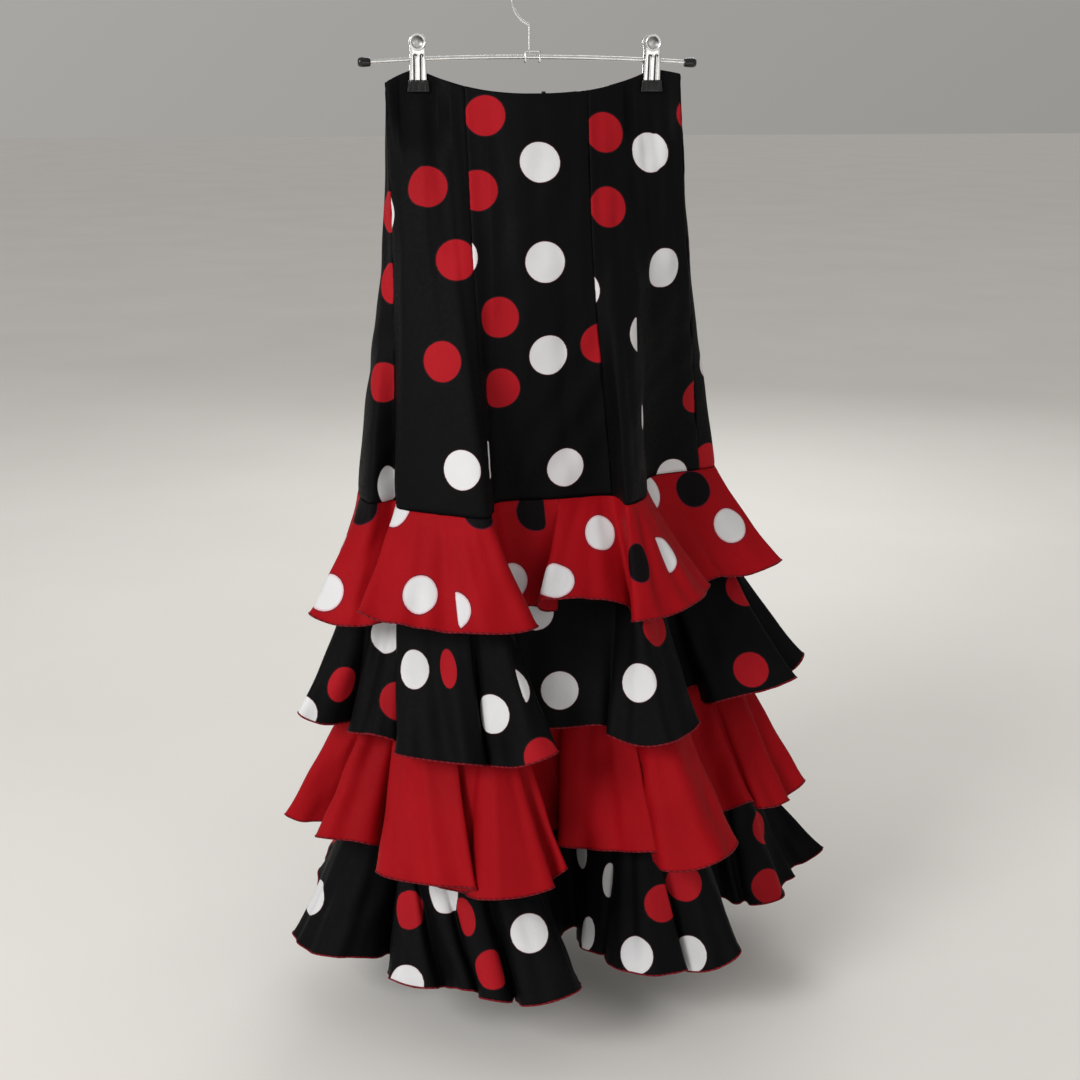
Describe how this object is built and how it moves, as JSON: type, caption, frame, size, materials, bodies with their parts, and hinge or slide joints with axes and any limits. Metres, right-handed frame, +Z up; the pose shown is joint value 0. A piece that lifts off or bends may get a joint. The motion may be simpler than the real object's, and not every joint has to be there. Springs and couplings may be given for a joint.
{
  "type": "flamenco skirt on a clip hanger",
  "caption": "Gored upper skirt with tiers of flounces below, hung by its waist from two clips on a wire-hooked metal hanger",
  "frame": {"origin": "the inner crown of the hanger's hook, where it sits on its rail", "axes": "+Z up, +X along the hanger bar to the viewer's right, the skirt's front towards -Y"},
  "size_m": [0.662, 0.5148, 1.0737],
  "materials": {
    "black_crepe": "black crepe printed with red and white dots",
    "red_crepe": "red crepe, the first tier printed with white and black dots",
    "hanger_steel": "satin plated steel",
    "black_plastic": "glossy black plastic"
  },
  "bodies": {
    "root": {"gore_front_centre": "black_crepe", "gore_front_side_left": "black_crepe", "gore_front_side_right": "black_crepe", "gore_back_side_left": "black_crepe", "gore_back_side_right": "black_crepe", "gore_back_left": "black_crepe", "gore_back_right": "black_crepe", "ruffle_base": "black_crepe", "ruffle_1": "red_crepe", "ruffle_2": "black_crepe", "ruffle_3": "red_crepe", "ruffle_4": "black_crepe", "back_zip_slider": "black_plastic", "hanger_bar": "hanger_steel", "hanger_hook": "hanger_steel", "hanger_saddle": "hanger_steel", "cap_left": "black_plastic", "cap_right": "black_plastic", "clip_left_front_leg": "hanger_steel", "clip_left_front_tip": "black_plastic", "clip_left_back_leg": "hanger_steel", "clip_left_back_tip": "black_plastic", "clip_left_spring": "hanger_steel", "clip_right_front_leg": "hanger_steel", "clip_right_front_tip": "black_plastic", "clip_right_back_leg": "hanger_steel", "clip_right_back_tip": "black_plastic", "clip_right_spring": "hanger_steel"}
  },
  "joints": []
}
